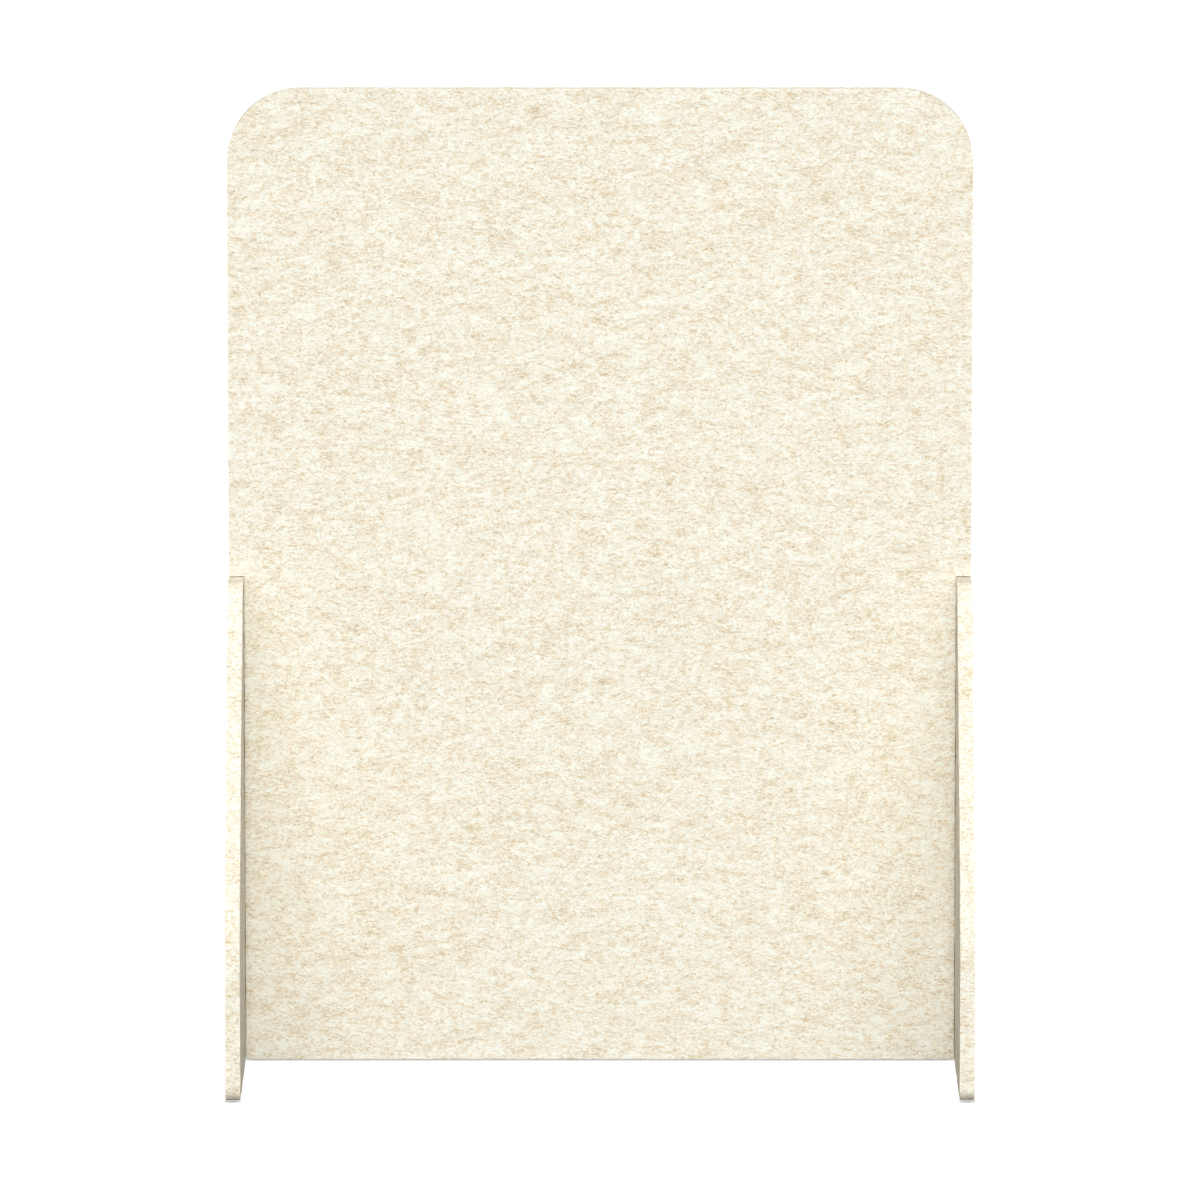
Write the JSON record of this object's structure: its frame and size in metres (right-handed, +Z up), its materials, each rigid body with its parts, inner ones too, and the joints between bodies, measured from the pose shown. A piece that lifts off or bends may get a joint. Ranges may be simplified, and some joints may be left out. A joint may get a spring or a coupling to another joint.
{
  "type": "acoustic divider screen",
  "caption": "Free-standing felt board screen with rounded top corners, held upright by a sloping felt wing bolted into a notch in each lower side edge.",
  "frame": {"origin": "on the floor, in the middle of the footprint", "axes": "+X along the panel's width, +Y towards the panel's back, +Z up"},
  "size_m": [1.2, 0.71, 1.59],
  "materials": {
    "cream_felt": "needle-felted board, cream with tan and white fibres, matt",
    "zinc_steel": "bright zinc plate",
    "insert_brass": "turned, plain"
  },
  "bodies": {
    "root": {"main_panel": "cream_felt", "left_wing": "cream_felt", "right_wing": "cream_felt", "left_wing_washers": "zinc_steel", "right_wing_washers": "zinc_steel", "left_wing_bolts": "zinc_steel", "right_wing_bolts": "zinc_steel", "left_panel_inserts": "insert_brass", "right_panel_inserts": "insert_brass"}
  },
  "joints": []
}
